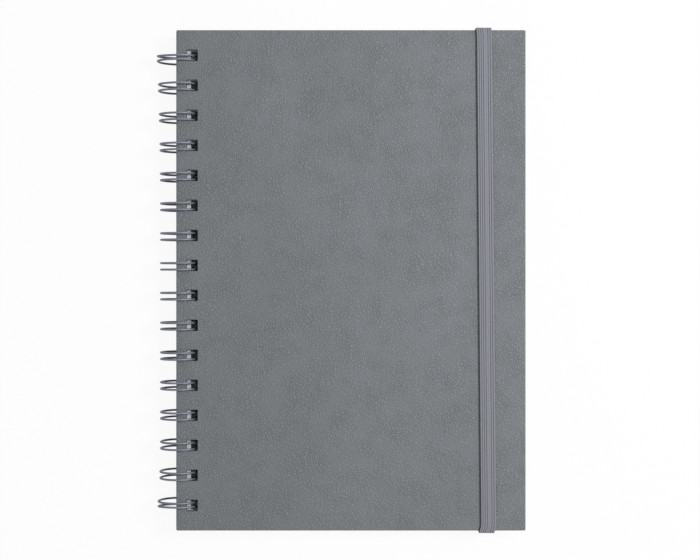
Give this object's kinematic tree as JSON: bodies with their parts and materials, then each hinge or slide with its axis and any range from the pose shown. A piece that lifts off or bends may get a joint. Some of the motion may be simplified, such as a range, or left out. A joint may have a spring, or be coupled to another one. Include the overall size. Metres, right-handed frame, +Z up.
{
  "type": "wire-bound notebook with hard covers",
  "caption": "A5 hardcover notebook with grey leatherette covers, twin-loop wire binding and an elastic closing band; the front cover opens.",
  "frame": {"origin": "below the middle of the closed notebook, at the level it lies on", "axes": "+X from the wire binding towards the fore edge, +Y towards the head, +Z up out of the front cover"},
  "size_m": [0.157, 0.214, 0.0149],
  "materials": {
    "leatherette": "matte embossed grey leatherette over greyboard",
    "lining_paper": "matte uncoated paper",
    "writing_paper": "matte uncoated paper",
    "coated_wire": "smooth grey plastic coating on steel wire",
    "elastic": "ribbed woven elastic"
  },
  "bodies": {
    "binding": {"wire_comb": "coated_wire", "pages": "writing_paper", "back_cover": "leatherette", "back_lining": "lining_paper", "elastic_band": "elastic"},
    "front_cover": {"front_cover": "leatherette", "front_lining": "lining_paper"}
  },
  "joints": [
    {"name": "front_cover_hinge", "type": "hinge", "parent": "binding", "child": "front_cover", "pos_m": [-0.0696, 0, 0.00746], "axis": [0, -1, 0], "range_deg": [0, 180], "deforming": ["elastic_band"]}
  ]
}
